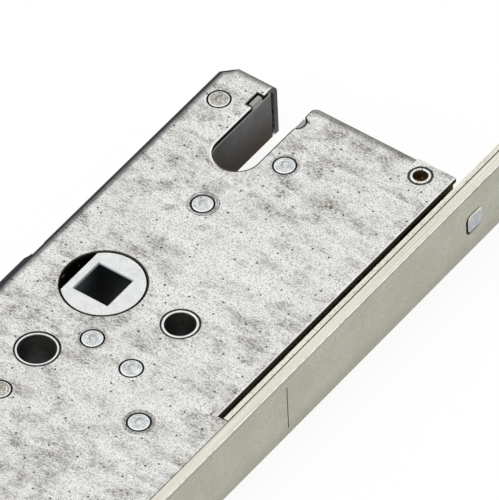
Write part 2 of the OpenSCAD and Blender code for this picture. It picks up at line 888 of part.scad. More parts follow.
module anchor_eyelets() {
    color(steel) for (p = eyelet_places()) translate(p) difference() {
        union() {
            cylinder(r = eyelet_r, h = case_t - 2 * rim_drop, center = true);
            cylinder(r = eyelet_r - eyelet_rim, h = case_t, center = true);
        }
        cylinder(r = eyelet_bore, h = 2 * case_t, center = true);
    }
}

module brass_bushes() {
    sunk = 2.2;
    color(brass_col) for (p = eyelet_places()) translate(p) difference() {
        cylinder(r = eyelet_bore - 0.04, h = case_t - 2 * sunk, center = true);
        cylinder(r = brass_bore, h = 2 * case_t, center = true);
    }
}

// Headed studs fixed in the faceplate that carry the rails behind it.
module rail_guide_studs() {
    head_x = rail_back - gap - guide_head_t;
    color(steel) for (y = [guide_up, -guide_down]) translate([head_x, y, fp_z])
        rotate([0, 90, 0]) {
            cylinder(r = guide_head_r, h = guide_head_t);
            cylinder(r = guide_r, h = backset - head_x);
        }
}

module detent_housing() {
    color(dark_col) difference() {
        translate([detent_back, -detent_y - detent_h / 2, -waist_h / 2])
            cube([detent_face - detent_back, detent_h, waist_h]);
        translate([spring_seat, -detent_y, 0]) rotate([0, 90, 0])
            cylinder(r = plunger_r + plunger_play, h = far);
        translate([detent_stud_x, -detent_y, 0])
            cylinder(r = waist_r + pin_play, h = 2 * case_t, center = true);
    }
}

module detent_plunger() {
    color(steel) translate([plunger_back, -detent_y, 0]) rotate([0, 90, 0]) {
        cylinder(r = plunger_r, h = plunger_l);
        translate([0, 0, plunger_l]) cylinder(r1 = plunger_r, r2 = 0.8, h = nose_h);
        translate([0, 0, -stem_l]) cylinder(r = stem_r, h = stem_l + 0.5);
    }
}

// Point j of ring i on the spring's helix.
function wire_point(i, j) = let (
    a = i * 360 / rings_per_turn,
    b = j * 360 / wire_sides,
    r = spring_mean_r + wire_r * cos(b)
) [wire_r + spring_pitch * i / rings_per_turn + wire_r * sin(b), r * cos(a), r * sin(a)];

echo(detent_spring_least_gap = spring_pitch - 2 * wire_r);

module detent_spring() {
    points = [for (i = [0:spring_rings]) for (j = [0:wire_sides - 1]) wire_point(i, j)];
    sides = [
        for (i = [0:spring_rings - 1]) for (j = [0:wire_sides - 1])
            let (a = i * wire_sides + j, b = i * wire_sides + (j + 1) % wire_sides)
                for (t = [[a, b, b + wire_sides], [a, b + wire_sides, a + wire_sides]]) t
    ];
    first = [for (j = [1:wire_sides - 2]) [0, j + 1, j]];
    base = spring_rings * wire_sides;
    last = [for (j = [1:wire_sides - 2]) [base, base + j, base + j + 1]];
    color(steel) translate([spring_seat + 0.05, -detent_y, 0])
        polyhedron(points, concat(sides, first, last));
}

case_tray();
cover_plate();
notch_liner();
faceplate();
spindle_hub();
fixing_bush_front();
fixing_bush_lower();
case_studs();
slide_guide_studs();
pinion_axle();
reversing_pinion();
lower_slide();
upper_slide();
upper_drive_rail();
lower_drive_rail();
upper_rail_rivets();
lower_rail_rivets();
upper_anchor_block();
lower_anchor_block();
anchor_eyelets();
brass_bushes();
rail_guide_studs();
upper_coupling();
lower_coupling();
upper_coupling_rivets();
lower_coupling_rivets();
detent_housing();
detent_plunger();
detent_spring();
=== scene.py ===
# Dressed model of the lift lever passive lock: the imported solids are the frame, and this script
# adds the materials, the riveted and worn faces that the solids leave plain, and the studio.
# Lengths are in millimetres, and MM turns them into metres. The studio's are in metres.
import json
import math
import random

import bmesh
import bpy
from mathutils import Matrix, Vector

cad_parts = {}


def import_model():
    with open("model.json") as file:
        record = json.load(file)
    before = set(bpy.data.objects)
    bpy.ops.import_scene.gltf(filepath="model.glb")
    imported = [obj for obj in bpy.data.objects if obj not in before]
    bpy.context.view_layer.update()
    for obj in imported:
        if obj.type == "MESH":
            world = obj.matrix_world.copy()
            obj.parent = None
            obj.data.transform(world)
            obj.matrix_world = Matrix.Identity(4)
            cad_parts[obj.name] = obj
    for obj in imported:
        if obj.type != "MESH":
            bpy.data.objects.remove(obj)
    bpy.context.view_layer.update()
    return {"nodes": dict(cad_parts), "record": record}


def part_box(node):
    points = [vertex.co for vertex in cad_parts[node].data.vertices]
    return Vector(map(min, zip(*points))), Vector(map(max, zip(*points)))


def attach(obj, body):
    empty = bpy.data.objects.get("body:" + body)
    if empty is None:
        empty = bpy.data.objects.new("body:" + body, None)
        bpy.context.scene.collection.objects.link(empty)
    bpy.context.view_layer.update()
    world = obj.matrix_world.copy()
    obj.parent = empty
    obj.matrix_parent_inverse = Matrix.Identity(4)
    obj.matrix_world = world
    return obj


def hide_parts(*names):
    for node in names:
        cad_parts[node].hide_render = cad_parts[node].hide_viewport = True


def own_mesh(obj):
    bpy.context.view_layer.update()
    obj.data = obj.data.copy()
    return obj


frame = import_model()
nodes = frame["nodes"]
MM = 0.001

# Two points closer than this are one, and an end's own corners lie closer to its axis than NEAR.
WELD = 0.0005
NEAR = 10


def box_mm(node):
    """Low and high corner of a node."""
    low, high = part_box(node)
    return low / MM, high / MM


def corners_mm(node):
    """Every vertex of a node."""
    return [v.co / MM for v in nodes[node].data.vertices]


def axes_mm(node):
    """(x, y) of the upright axis of each separate solid of a node, the case's top first."""
    bm = bmesh.new()
    bm.from_mesh(nodes[node].data)
    bmesh.ops.remove_doubles(bm, verts=bm.verts, dist=WELD * MM)
    left = set(bm.verts)
    axes = []
    while left:
        solid = [left.pop()]
        for vert in solid:
            near = {edge.other_vert(vert) for edge in vert.link_edges} & left
            left -= near
            solid.extend(near)
        xs = [vert.co.x / MM for vert in solid]
        ys = [vert.co.y / MM for vert in solid]
        axes.append(((min(xs) + max(xs)) / 2, (min(ys) + max(ys)) / 2))
    bm.free()
    return sorted(axes, key=lambda axis: (-round(axis[1], 1), axis[0]))


def ring_mm(node, x, y):
    """Outer and inner radius of the upper end of a node's solid round that upright axis."""
    ends = [p for p in corners_mm(node) if p.z > FACE - WELD]
    reach = [math.hypot(p.x - x, p.y - y) for p in ends]
    near = [r for r in reach if r < NEAR]
    return max(near), min(near)


def tenon_span(node):
    """Lowest and highest y of the end that an anchor block shows in the faceplate."""
    ends = [p.y for p in corners_mm(node) if p.x > FP_FRONT - WELD]
    return min(ends), max(ends)


# Places and sizes from the frame.
tray_low, tray_high = box_mm("case_tray")
cover_low, cover_high = box_mm("cover_plate")
fp_low, fp_high = box_mm("faceplate")
tray = corners_mm("case_tray")
FACE = tray_high.z
PLATE_T = cover_high.z - cover_low.z
TRAY_FRONT = max(p.x for p in tray if p.y > 0)
STEP_Y = max(p.y for p in tray if p.x > TRAY_FRONT + 1)
FLANGE_END = box_mm("upper_anchor_block")[0].x
FP_FRONT = fp_high.x
FP_BACK = fp_low.x
FP_MID = (fp_low.z + fp_high.z) / 2

# The hub's nearest points to its axis are the corners of its square socket.
hub = corners_mm("spindle_hub")
hub_face = [p for p in hub if p.z > FACE - WELD]
SOCKET = math.sqrt(2) * min(p.xy.length for p in hub)
HUB_FACE_R = max(p.xy.length for p in hub_face)
FLAT_X = min(p.x for p in hub_face)

AXLE = axes_mm("pinion_axle")[0]
PLAIN_STUDS = axes_mm("case_studs")
STUDS = PLAIN_STUDS + axes_mm("slide_guide_studs") + [AXLE]
WARM_STUDS = [PLAIN_STUDS[0], PLAIN_STUDS[4]]
STUD_END_R = ring_mm("case_studs", *PLAIN_STUDS[0])[0]
EYELETS = axes_mm("anchor_eyelets")
EYELET_R, EYELET_BORE = ring_mm("anchor_eyelets", *EYELETS[0])
BUSH_NODES = ("fixing_bush_front", "fixing_bush_lower")
BUSHES = [(axis, ring_mm(node, *axis)) for node in BUSH_NODES for axis in axes_mm(node)]
tenon_spans = [tenon_span(node) for node in ("upper_anchor_block", "lower_anchor_block")]
TENONS = [(low + high) / 2 for low, high in tenon_spans]
TENON = tenon_spans[0][1] - tenon_spans[0][0]

# Depth of the step round the ends of studs and sleeves.
RIM_DROP = 0.5
# Radius of the case's rolled edge. Where its corners are cut, the distances from the two edges
# add up to CORNER.
ROLL_R = 2.5
CORNER = 3.1
# Round end of the plate's cut-out, and the window of the liner's square tab: left, low, high.
NOTCH_R = 5.2
NOTCH_Y = 44
TAB_WINDOW = (-6.65, 55.8, 59.6)
# Half the thickness of the detent spring's wire, and its turns.
SPRING_WIRE = 0.25
SPRING_TURNS = 5
# How far the added ends lie over and round the solids' ends that they cover.
SKIN = 0.02
# A stud's dome, the groove of the riveting tool's crescent in it, and how far it goes down
# past the face.
DOME_RISE = 0.13
GROOVE_DEPTH = 0.09
GROOVE_WIDTH = 0.2
DOME_FOOT = 0.15
# Rounded rims: how far inside the sleeve's outline, how far down and how far up they go.
RIM_INSET = 0.06
RIM_FOOT = 0.3
EYELET_RISE = 0.14
BUSH_RISE = 0.06
# A tenon's dome, how far it goes back past the faceplate's front, and how far it sits towards
# the faceplate's top, so that a gap shows below it.
TENON_RISE = 0.26
TENON_FOOT = 0.4
TENON_SHIFT = 0.16
# Pressed rings round studs, painted as grey shade with dark edge lines, as seen: x, y, inner and
# outer radius, strength.
HALOS = [(*AXLE, 2.6, 3.05, 0.95), (3, 28.8, 2.6, 3.15, 0.95), (*PLAIN_STUDS[1], 2.6, 2.85, 0.5),
         (*PLAIN_STUDS[3], 2.6, 2.8, 0.4), (5.9, -12.2, 1.6, 2.9, 0.4)]
# Painted shade of the dark gaps round what stands in the plate's holes, as seen: x, y, radius,
# raggedness.
DARK_RINGS = [(-0.05, 0.13, 9.0, 0), (19, 0.05, 4.1, 0), (0, -21.45, 4.76, 0)]
DARK_RINGS += [(*EYELETS[0], 2.3, 0.55), (4.63, 57.7, 2.12, 0)]
DARK_RINGS += [(x, y, 2.53, 0) for x, y in STUDS]
PLATE_METALLIC = 0.72
HUB_METALLIC = 0.8
SLEEVE_METALLIC = 0.75


def srgb(red, green, blue):
    """Linear colour of an 8-bit display colour."""
    def linear(v):
        v /= 255
        return v / 12.92 if v <= 0.04045 else ((v + 0.055) / 1.055) ** 2.4
    return (linear(red), linear(green), linear(blue), 1.0)


class Finish:
    """One procedural material. Its textures are read in object space, in millimetres."""

    def __init__(self, name, metallic, roughness, **constants):
        self.material = bpy.data.materials.new(name)
        self.material.use_nodes = True
        self.tree = self.material.node_tree
        self.shader = self.tree.nodes["Principled BSDF"]
        self.set("Metallic", metallic)
        self.set("Roughness", roughness)
        for key, value in constants.items():
            self.set(key.replace("_", " "), value)
        coords = self.tree.nodes.new("ShaderNodeTexCoord").outputs["Object"]
        scaled = self.tree.nodes.new("ShaderNodeVectorMath")
        scaled.operation = "SCALE"
        scaled.inputs["Scale"].default_value = 1 / MM
        self.tree.links.new(coords, scaled.inputs[0])
        self.place = scaled.outputs[0]
        split = self.tree.nodes.new("ShaderNodeSeparateXYZ")
        self.tree.links.new(self.place, split.inputs[0])
        self.x, self.y, self.z = split.outputs
        self.side = self.magnitude(self.z)

    def feed(self, socket, value):
        """Links a texture to a socket, or sets a constant on it."""
        if isinstance(value, bpy.types.NodeSocket):
            self.tree.links.new(value, socket)
        else:
            socket.default_value = value

    def set(self, socket, value):
        """A constant stays on the shader's own socket, and a texture is linked to it."""
        self.feed(self.shader.inputs[socket], value)

    def finished(self, colour, roughness, height, depth):
        """Sets what every finish has, with bumps of that depth, and gives the material."""
        bump = self.tree.nodes.new("ShaderNodeBump")
        bump.inputs["Strength"].default_value = 1.0
        bump.inputs["Distance"].default_value = depth * MM
        self.feed(bump.inputs["Height"], height)
        self.set("Base Color", colour)
        self.set("Roughness", roughness)
        self.set("Normal", bump.outputs[0])
        return self.material

    def math(self, operation, a, b=0.0):
        node = self.tree.nodes.new("ShaderNodeMath")
        node.operation = operation
        for socket, value in zip(node.inputs, (a, b)):
            self.feed(socket, value)
        return node.outputs[0]

    def times(self, a, b):
        return self.math("MULTIPLY", a, b)

    def plus(self, a, b):
        return self.math("ADD", a, b)

    def minus(self, a, b):
        return self.math("SUBTRACT", a, b)

    def larger(self, a, b):
        return self.math("MAXIMUM", a, b)

    def smaller(self, a, b):
        return self.math("MINIMUM", a, b)

    def magnitude(self, a):
        return self.math("ABSOLUTE", a)

    def stretched(self, size, offset):
        """Coordinates in which a feature of that size along each axis is one unit across."""
        node = self.tree.nodes.new("ShaderNodeMapping")
        size = size if isinstance(size, tuple) else (size,) * 3
        node.inputs["Scale"].default_value = [1 / s for s in size]
        node.inputs["Location"].default_value = offset
        self.tree.links.new(self.place, node.inputs["Vector"])
        return node.outputs[0]

    def noise(self, size, detail=2.0, rough=0.5, offset=(0, 0, 0), warp=0.0):
        node = self.tree.nodes.new("ShaderNodeTexNoise")
        node.inputs["Scale"].default_value = 1.0
        node.inputs["Detail"].default_value = detail
        node.inputs["Roughness"].default_value = rough
        node.inputs["Distortion"].default_value = warp
        self.tree.links.new(self.stretched(size, offset), node.inputs["Vector"])
        return node.outputs["Fac"]

    def specks(self, size, radius, offset=(0, 0, 0)):
        """1 inside small scattered spots on the plates, one in a cell of that size."""
        node = self.tree.nodes.new("ShaderNodeTexVoronoi")
        node.voronoi_dimensions = "2D"
        node.inputs["Scale"].default_value = 1.0
        self.tree.links.new(self.stretched(size, offset), node.inputs["Vector"])
        share = radius / size
        return self.fit(node.outputs["Distance"], share * 0.7, share, 1, 0)

    def fit(self, value, low, high, to_low=0.0, to_high=1.0, smooth=True):
        """value from low to high becomes to_low to to_high, and is held beyond them."""
        node = self.tree.nodes.new("ShaderNodeMapRange")
        node.interpolation_type = "SMOOTHSTEP" if smooth else "LINEAR"
        for key, v in zip(("From Min", "From Max", "To Min", "To Max"),
                          (low, high, to_low, to_high)):
            node.inputs[key].default_value = v
        self.feed(node.inputs["Value"], value)
        return node.outputs["Result"]

    def band(self, value, low, full, fade, high):
        """1 from full to fade, and 0 below low and above high."""
        return self.times(self.fit(value, low, full), self.fit(value, fade, high, 1, 0))

    def mix(self, amount, a, b):
        node = self.tree.nodes.new("ShaderNodeMix")
        node.data_type = "RGBA"
        colours = [s for s in node.inputs if s.type == "RGBA"]
        self.feed(node.inputs["Factor"], amount)
        self.feed(colours[0], a)
        self.feed(colours[1], b)
        return next(s for s in node.outputs if s.type == "RGBA")

    def from_axis(self, x, y):
        """Distance from an upright axis."""
        dx = self.minus(self.x, x)
        dy = self.minus(self.y, y)
        return self.math("SQRT", self.plus(self.times(dx, dx), self.times(dy, dy)))


def plate_clusters(f, bands):
    """Cover of the grey-brown clusters, which thins out towards the front and in the bands."""
    patches = f.noise((5.0, 3.4, 4), detail=4, rough=0.64, warp=0.3)
    regions = f.noise(19, detail=1, offset=(3.1, 7.7, 0))
    cover = f.plus(f.times(patches, 0.74), f.times(regions, 0.26))
    cover = f.plus(cover, f.fit(f.x, 14, -16, 0, 0.035))
    return f.minus(cover, f.fit(bands, 0.5, 0.66, 0, 0.05))


def plate_specks(f):
    """1 in the flat faces' dark specks, of which the smaller ones stand in loose groups."""
    flat = f.fit(f.side, FACE - 0.05, FACE - 0.02)
    large = f.times(f.specks(6.2, 0.28), flat)
    grouped = f.fit(f.noise(6, detail=1, offset=(8, 1, 2)), 0.50, 0.58)
    small = f.times(f.specks(2.4, 0.19, offset=(2, 5, 0)), grouped)
    return f.larger(large, f.times(small, f.times(flat, 0.8)))


def plate_halos(f, colour, ragged):
    """colour with broken grey rings and dark edge lines, painted shade of the rings that riveting
    pressed round some studs.
    """
    broken = f.fit(f.noise(0.45, detail=2, offset=(6, 0, 3)), 0.36, 0.6, 0.3, 1)
    for x, y, inner, outer, amount in HALOS:
        reach = f.minus(f.plus(f.from_axis(x, y), f.times(ragged, 0.5)), 0.25)
        halo = f.times(f.band(reach, inner - 0.3, inner, outer, outer + 0.3), broken)
        # Painted shade of a pressed ring, and below it of the ring's edges.
        colour = f.mix(f.times(halo, amount * 0.7), colour, srgb(150, 153, 151))
        for radius in (inner + 0.17, outer + 0.12):
            line = f.fit(f.magnitude(f.minus(reach, radius)), 0.04, 0.13, 1, 0)
            line = f.times(line, broken)
            colour = f.mix(f.times(line, amount), colour, srgb(88, 90, 88))
    return colour


def plate_gap_shade(f, ragged):
    """Near 1 on the painted shade of the gaps round what stands in the plate's holes."""
    gap_shade = 0.0
    for x, y, radius, raggedness in DARK_RINGS:
        reach = f.plus(f.from_axis(x, y), f.times(ragged, -raggedness))
        gap_shade = f.larger(gap_shade, f.fit(reach, radius, radius + 0.1, 0.92, 0))
    return gap_shade


def plate_roll_shade(f):
    """1 on the case's rolled edges, which take painted shade and a painted dark reflection, and 1
    along the top one.
    """
    back = f.plus(f.x, -tray_low.x - 0.6)
    top = f.minus(tray_high.y, f.y)
    low = f.minus(f.y, tray_low.y)
    cut_top = f.times(f.plus(f.plus(back, top), -CORNER), 0.707)
    cut_low = f.times(f.plus(f.plus(back, low), -CORNER), 0.707)
    near = f.smaller(back, f.smaller(top, low))
    near = f.smaller(near, f.smaller(cut_top, cut_low))
    behind = f.fit(f.x, FLANGE_END - 0.1, FLANGE_END, 1, 0)
    on_top = f.times(f.fit(top, 3.1, 3.5, 1, 0), f.fit(back, 2.8, 4))
    along_top = f.times(f.fit(near, 0.7, 3.0, 1, 0, smooth=False), on_top)
    elsewhere = f.times(f.fit(near, 1.5, 2.9, 1, 0, smooth=False), f.minus(1, on_top))
    bent = f.times(f.plus(along_top, elsewhere), f.fit(f.z, -FACE, FACE - 2.4, 0.2, 1))
    return f.times(bent, behind), on_top


def plate_front_highlight(f):
    """1 on the painted highlight along the plate's upper front edge."""
    line = f.fit(f.x, TRAY_FRONT - 0.3, TRAY_FRONT - 0.16)
    line = f.times(line, f.fit(f.y, STEP_Y - 0.1, STEP_Y + 0.1))
    return f.times(line, f.fit(f.side, FACE - 0.14, FACE - 0.1))


def plate_cut_wall(f):
    """1 on the sheared walls of the plates' holes and edges."""
    under = f.fit(f.side, FACE - 0.22, FACE - 0.1, 1, 0)
    above = f.fit(f.side, FACE - PLATE_T - 0.02, FACE - PLATE_T + 0.02)
    from_back = f.plus(f.x, -tray_low.x)
    from_top = f.minus(tray_high.y, f.y)
    inside = f.fit(f.smaller(from_back, from_top), ROLL_R + 0.3, ROLL_R + 0.4)
    inside = f.larger(inside, f.fit(f.x, FLANGE_END - 0.05, FLANGE_END))
    return f.times(f.times(under, above), inside)


def notch_distance(f):
    """Distance out of the round-ended cut-out's outline."""
    dy = f.smaller(f.minus(f.y, NOTCH_Y), 0)
    reach = f.math("SQRT", f.plus(f.times(f.x, f.x), f.times(dy, dy)))
    return f.minus(reach, NOTCH_R)


def plate_notch(f, colour):
    """colour with a painted highlight along the cut-out's left edge, a thin dark line along its
    right edge, painted shade round the liner tab's window, and 1 on the flanges' sheared ends.
    """
    gap = notch_distance(f)
    # Painted highlight on the plate along the cut-out's left edge.
    rim = f.times(f.fit(gap, 0.30, 0.44, 1, 0), f.fit(f.z, FACE - 0.2, FACE - 0.1))
    rim = f.times(rim, f.fit(f.x, 1.5, -0.5))
    colour = f.mix(f.times(rim, 0.9), colour, srgb(254, 254, 253))
    left, low, high = TAB_WINDOW
    # Painted shade in the gap round the window of the liner's tab.
    tab_gap_shade = f.times(f.band(f.x, left - 0.3, left - 0.2, -0.1, 0),
                     f.band(f.y, low - 0.3, low - 0.2, high + 0.2, high + 0.3))
    colour = f.mix(f.times(tab_gap_shade, 0.92), colour, srgb(26, 23, 19))
    thin = f.times(f.fit(gap, 0.24, 0.34, 1, 0), f.fit(f.x, -3, 0))
    colour = f.mix(f.times(thin, 0.9), colour, srgb(66, 58, 46))
    sheared = f.times(f.fit(gap, 0.03, 0.06, 1, 0), f.fit(f.y, 60.6, 61.2))
    return f.mix(f.times(sheared, 0.9), colour, srgb(122, 122, 121)), sheared


def zinc_plate():
    """Zinc plated steel sheet: pale dense grain, grey-brown clusters, specks and scratches."""
    f = Finish("zinc_plate", PLATE_METALLIC, 0.36)
    grain = f.noise((0.85, 0.30, 0.5), detail=3, rough=0.75, offset=(5, 2, 1))
    fine = f.noise((0.38, 0.27, 0.4), detail=2, rough=0.8)
    bands = f.noise((34, 2.4, 9), detail=2, offset=(4, 9, 2))
    scratch = f.noise((26, 0.16, 3), detail=1, offset=(0, 2, 0))
    ragged = f.noise(0.7, detail=2, offset=(1, 4, 4))
    cover = plate_clusters(f, bands)
    speckled = f.fit(grain, 0.42, 0.58)
    stain = f.times(f.fit(cover, 0.44, 0.64), f.plus(f.times(speckled, 0.74), 0.12))
    core = f.times(f.fit(cover, 0.55, 0.69), f.times(speckled, 0.6))
    cloud = f.fit(f.noise(9, detail=2), 0.35, 0.7)
    colour = f.mix(cloud, srgb(243, 243, 241), srgb(234, 234, 231))
    colour = f.mix(f.fit(bands, 0.48, 0.66, 0, 0.6), colour, srgb(250, 250, 249))
    colour = f.mix(f.fit(fine, 0.48, 0.66, 0, 0.9), colour, srgb(154, 151, 144))
    colour = f.mix(f.fit(fine, 0.34, 0.47, 0.85, 0), colour, srgb(252, 252, 251))
    colour = f.mix(stain, colour, srgb(132, 126, 116))
    colour = f.mix(core, colour, srgb(100, 90, 76))
    colour = f.mix(f.times(plate_specks(f), 0.95), colour, srgb(60, 55, 48))
    colour = f.mix(f.fit(scratch, 0.62, 0.74, 0, 0.45), colour, srgb(186, 186, 182))
    colour = f.mix(f.fit(scratch, 0.25, 0.37, 0.55, 0), colour, srgb(252, 252, 251))
    colour = plate_halos(f, colour, ragged)
    roll_shade, on_top = plate_roll_shade(f)
    # Painted shade and dark reflection on the rolled edges: olive along the top, blue-grey
    # elsewhere.
    colour = f.mix(roll_shade, colour, f.mix(on_top, srgb(60, 64, 67), srgb(62, 57, 48)))
    # Painted highlight along the plate's upper front edge.
    colour = f.mix(plate_front_highlight(f), colour, srgb(253, 253, 252))
    foot = f.times(f.fit(f.x, FP_BACK - 0.3, FP_BACK - 0.15), f.fit(f.z, 0, 1))
    colour = f.mix(f.times(foot, 0.85), colour, srgb(92, 76, 52))
    gap_shade = plate_gap_shade(f, ragged)
    # Painted shade in the gaps round the studs, sleeves, eyelets and hub.
    colour = f.mix(gap_shade, colour, srgb(34, 30, 25))
    wall_shade = plate_cut_wall(f)
    # The sheared walls' raw steel darkened with painted shade: near black back to the flanges'
    # end, brown in front of it.
    raw_steel_and_shade = f.mix(f.fit(f.x, FLANGE_END, FLANGE_END + 1), srgb(34, 30, 24), srgb(92, 80, 56))
    colour = f.mix(wall_shade, colour, raw_steel_and_shade)
    colour, sheared = plate_notch(f, colour)
    matt = f.larger(f.larger(roll_shade, gap_shade), f.larger(wall_shade, sheared))
    f.set("Metallic", f.fit(matt, 0, 1, PLATE_METALLIC, 0.08, smooth=False))
    f.set("Specular IOR Level", f.fit(matt, 0, 1, 0.5, 0.0, smooth=False))
    roughness = f.fit(f.plus(stain, f.times(grain, 0.2)), 0, 1, 0.33, 0.54, smooth=False)
    return f.finished(colour, roughness, f.plus(f.times(grain, 0.6), scratch), 0.014)


def dark_liner():
    """Dark grey coated strip, browner and darker below, with a painted highlight along its top
    edge, its bent tabs' ends bare.
    """
    f = Finish("dark_liner", 0.0, 0.5, Specular_IOR_Level=0.02)
    cloud = f.noise(3.4, detail=3)
    fine = f.noise(0.35, detail=2, offset=(2, 2, 2))
    top = FACE - PLATE_T
    colour = f.mix(f.fit(cloud, 0.3, 0.7), srgb(142, 143, 145), srgb(156, 156, 157))
    colour = f.mix(f.fit(f.z, FACE - 3, 2 - FACE, 0, 0.85), colour, srgb(96, 82, 68))
    colour = f.mix(f.fit(f.y, NOTCH_Y + 8, NOTCH_Y - 4, 0, 0.7), colour, srgb(80, 70, 59))
    colour = f.mix(f.fit(fine, 0.58, 0.72, 0, 0.3), colour, srgb(128, 127, 124))
    # Painted highlight along the liner's top edge, under the plate.
    colour = f.mix(f.fit(f.z, top - 0.7, top - 0.45, 0, 0.9), colour, srgb(212, 211, 207))
    colour = f.mix(f.fit(f.z, FACE - 0.35, FACE - 0.25), colour, srgb(172, 171, 167))
    return f.finished(colour, f.fit(fine, 0.3, 0.7, 0.36, 0.5, smooth=False), fine, 0.01)


def faceplate_metal():
    """Rolled faceplate strip: greenish grey front, cream edges brushed lengthwise."""
    f = Finish("faceplate", 0.6, 0.38)
    streak = f.noise((0.22, 30, 0.22), detail=3, rough=0.6)
    cloud = f.noise((6, 8, 5), detail=3, rough=0.55, offset=(0, 3, 6))
    mottle = f.noise((0.9, 1.1, 0.8), detail=3, rough=0.65, offset=(2, 3, 4))
    fine = f.noise((0.3, 0.36, 0.3), detail=2, rough=0.7)
    dashes = f.noise((0.3, 2.6, 0.3), detail=3, offset=(9, 1, 1))
    front = f.mix(f.fit(cloud, 0.35, 0.68), srgb(194, 195, 179), srgb(184, 184, 168))
    front = f.mix(f.fit(mottle, 0.45, 0.66, 0, 0.5), front, srgb(169, 169, 152))
    front = f.mix(f.fit(fine, 0.52, 0.68, 0, 0.5), front, srgb(152, 150, 134))
    front = f.mix(f.fit(fine, 0.3, 0.44, 0.45, 0), front, srgb(212, 213, 203))
    front = f.mix(f.fit(f.z, FP_MID - 2.5, fp_low.z, 0, 0.4), front, srgb(156, 148, 128))
    scribed = f.times(f.fit(f.magnitude(f.y), 0.12, 0.16, 1, 0),
                      f.fit(f.magnitude(f.minus(f.z, FP_MID)), 5.7, 5.8, 1, 0))
    front = f.mix(f.times(scribed, 0.8), front, srgb(120, 96, 70))
    edge = f.mix(f.fit(streak, 0.36, 0.66), srgb(242, 240, 228), srgb(220, 216, 200))
    edge = f.mix(f.fit(dashes, 0.62, 0.76, 0, 0.5), edge, srgb(172, 166, 150))
    edge = f.mix(f.fit(fine, 0.55, 0.7, 0, 0.35), edge, srgb(186, 180, 160))
    # Painted highlight: a broken white line just behind the front edge.
    edge_highlight = f.band(f.x, FP_FRONT - 0.55, FP_FRONT - 0.4, FP_FRONT - 0.3, FP_FRONT - 0.14)
    edge_highlight = f.times(edge_highlight, f.fit(f.noise((0.5, 1.6, 0.5), detail=2), 0.38, 0.56))
    colour = f.mix(f.fit(f.x, FP_FRONT - 0.42, FP_FRONT - 0.12), edge, front)
    colour = f.mix(edge_highlight, colour, srgb(255, 255, 254))
    roughness = f.fit(f.plus(streak, fine), 0.7, 1.3, 0.3, 0.46, smooth=False)
    return f.finished(colour, roughness, f.plus(streak, f.times(fine, 0.4)), 0.010)


def rail_steel():
    """Cream passivated rail strip, its rolled edge flecked white and dark."""
    f = Finish("rail_steel", 0.6, 0.38)
    fine = f.noise((0.36, 0.8, 0.36), detail=2, rough=0.7)
    long = f.noise((0.5, 26, 0.9), detail=2, offset=(1, 1, 7))
    colour = f.mix(f.fit(long, 0.35, 0.7), srgb(240, 238, 222), srgb(226, 223, 204))
    colour = f.mix(f.fit(fine, 0.52, 0.64, 0, 0.85), colour, srgb(252, 251, 246))
    colour = f.mix(f.fit(fine, 0.30, 0.42, 0.7, 0), colour, srgb(128, 120, 96))
    roughness = f.fit(fine, 0.3, 0.7, 0.3, 0.5, smooth=False)
    return f.finished(colour, roughness, f.plus(fine, long), 0.012)


def hub_metal():
    """Bright zinc hub, smoother than the plates, with painted shade in its socket and round its
    step.
    """
    f = Finish("hub_metal", HUB_METALLIC, 0.34)
    half = SOCKET / 2
    cloud = f.noise(2.6, detail=3, rough=0.55)
    grain = f.noise(0.28, detail=2, offset=(4, 4, 4))
    radius = f.from_axis(0, 0)
    reach = f.larger(f.magnitude(f.x), f.magnitude(f.y))
    turned = f.fit(f.math("FRACT", f.times(radius, 2.2)), 0, 1)
    colour = f.mix(f.fit(cloud, 0.35, 0.7), srgb(243, 245, 243), srgb(231, 233, 232))
    colour = f.mix(f.fit(grain, 0.54, 0.70, 0, 0.5), colour, srgb(188, 189, 188))
    colour = f.mix(f.times(turned, 0.1), colour, srgb(200, 203, 204))
    bevel = f.times(f.fit(reach, half + 0.36, half + 0.42, 1, 0),
                    f.fit(f.side, FACE - 0.03, FACE - 0.07))
    colour = f.mix(bevel, colour, srgb(150, 156, 160))
    # Painted light and shade in the socket: the wall towards -y lighter, the -x wall and the depth
    # darker.
    wall_shade = f.mix(f.fit(f.y, 4, -4), srgb(34, 40, 43), srgb(104, 114, 118))
    wall_shade = f.mix(f.fit(f.x, 0.45 - half, 0.15 - half, 1, 0), wall_shade, srgb(26, 30, 31))
    wall_shade = f.mix(f.fit(f.side, FACE - 6, FACE - 1, 0.9, 0), wall_shade, srgb(26, 30, 32))
    in_socket = f.fit(reach, half + 0.02, half + 0.1, 1, 0)
    colour = f.mix(in_socket, colour, wall_shade)
    # Painted shade round the step of the hub's face.
    step_shade = f.times(f.fit(f.side, FACE - 0.12, FACE - 0.25),
                      f.fit(radius, HUB_FACE_R - 0.06, HUB_FACE_R - 0.02))
    colour = f.mix(step_shade, colour, srgb(30, 28, 24))
    flat = f.times(f.fit(f.x, FLAT_X + 0.1, FLAT_X), f.fit(f.side, FACE, FACE - 0.3))
    flat = f.times(flat, f.fit(radius, -FLAT_X, 0.3 - FLAT_X))
    colour = f.mix(flat, colour, srgb(44, 40, 30))
    f.set("Metallic", f.fit(in_socket, 0, 1, HUB_METALLIC, 0.1, smooth=False))
    roughness = f.fit(grain, 0.3, 0.7, 0.3, 0.44, smooth=False)
    return f.finished(colour, roughness, f.plus(grain, f.times(turned, 0.3)), 0.008)


